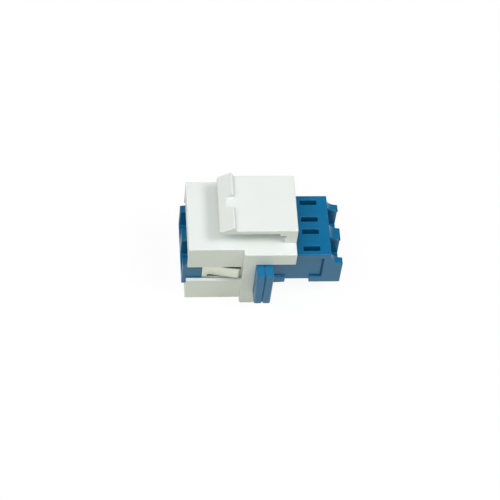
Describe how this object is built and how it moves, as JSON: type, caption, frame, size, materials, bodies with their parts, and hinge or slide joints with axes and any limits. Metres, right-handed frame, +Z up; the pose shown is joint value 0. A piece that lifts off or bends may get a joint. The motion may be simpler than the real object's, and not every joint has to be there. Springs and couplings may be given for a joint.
{
  "type": "lc fibre adapter",
  "caption": "Fibre coupler with LC ports at both ends, held by a spring clip in a snap-in keystone housing with a flexing top latch.",
  "frame": {"origin": "on the underside's plane, below the seam of the adapter's flange, in the plane of symmetry: the centre of the bounding box's base", "axes": "+X along the fibres, away from the keystone front; +Z up, to the latch; +Y completes the frame"},
  "size_m": [0.0288, 0.0218, 0.0209],
  "materials": {
    "white_plastic": "satin moulded white",
    "blue_plastic": "satin moulded blue",
    "spring_steel": "bright rolled strip",
    "holder_plastic": "moulded blue",
    "zirconia": "ground"
  },
  "bodies": {
    "housing": {"keystone_frame": "white_plastic", "front_adapter_half": "blue_plastic", "rear_adapter_half": "blue_plastic", "mounting_clip": "spring_steel", "front_left_sleeve_holder": "holder_plastic", "front_right_sleeve_holder": "holder_plastic", "rear_left_sleeve_holder": "holder_plastic", "rear_right_sleeve_holder": "holder_plastic", "left_split_sleeve": "zirconia", "right_split_sleeve": "zirconia"},
    "latch": {"latch_arm": "white_plastic"}
  },
  "joints": [
    {"name": "latch_press", "type": "hinge", "parent": "housing", "child": "latch", "pos_m": [0.004, 0, 0.01937], "axis": [0, 1, 0], "range_deg": [-8, 0], "stiffness_Nm_per_rad": 0.5}
  ]
}
